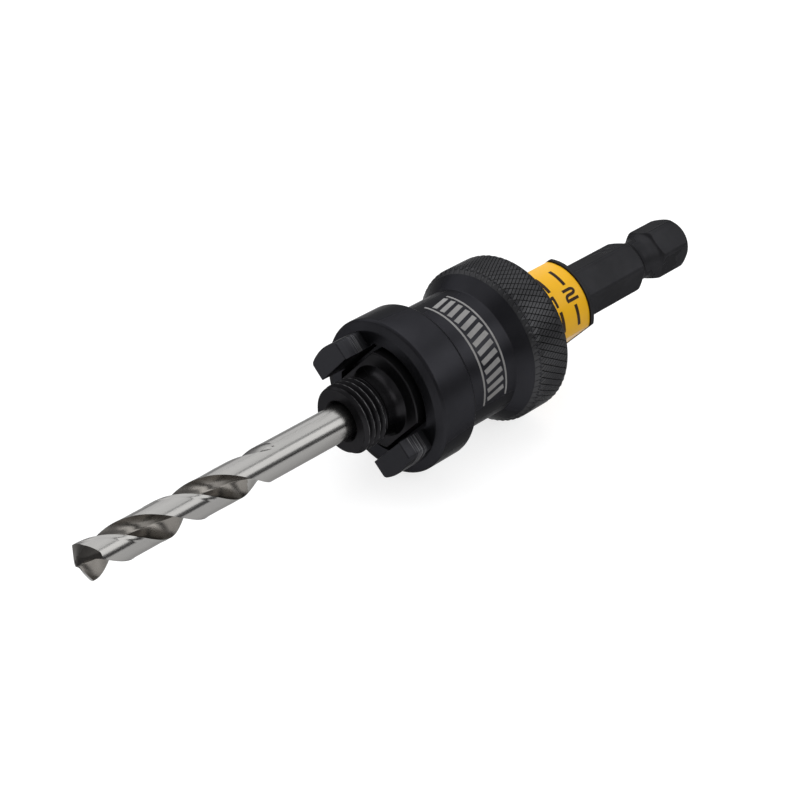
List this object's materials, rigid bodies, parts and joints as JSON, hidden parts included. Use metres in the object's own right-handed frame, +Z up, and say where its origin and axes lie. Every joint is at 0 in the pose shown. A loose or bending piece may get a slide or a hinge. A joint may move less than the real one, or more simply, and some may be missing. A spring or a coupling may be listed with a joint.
{
  "type": "hole saw arbor",
  "caption": "Quick-change hole saw arbor: twist pilot drill, threaded nose, knurled sliding sleeve with drive dogs, numbered yellow ring and hexagon shank.",
  "frame": {"origin": "centre of the footprint, on the plane that the knurled grip rests on", "axes": "+X along the arbor from the pilot drill's tip to the hexagon shank, +Z up"},
  "size_m": [0.1472, 0.03, 0.03],
  "materials": {
    "bar_steel": "black oxide, satin",
    "sleeve_steel": "black oxide, oiled satin",
    "ring_plastic": "glossy yellow with dark print",
    "bush_bronze": "sintered bronze, matte",
    "spring_steel": "drawn spring steel",
    "screw_steel": "black oxide",
    "drill_steel": "bright ground high speed steel",
    "ball_steel": "polished bearing steel"
  },
  "bodies": {
    "arbor": {"arbor_body": "bar_steel", "indicator_ring": "ring_plastic", "stop_clip": "spring_steel", "pilot_screw": "screw_steel", "pilot_drill": "drill_steel", "index_ball_upper": "ball_steel", "index_ball_lower": "ball_steel", "index_spring_upper": "spring_steel", "index_spring_lower": "spring_steel"},
    "sleeve": {"sliding_sleeve": "sleeve_steel", "rear_bush": "bush_bronze"}
  },
  "joints": [
    {"name": "sleeve_slide", "type": "slide", "parent": "arbor", "child": "sleeve", "axis": [1, 0, 0], "range_m": [0, 0.009]}
  ]
}
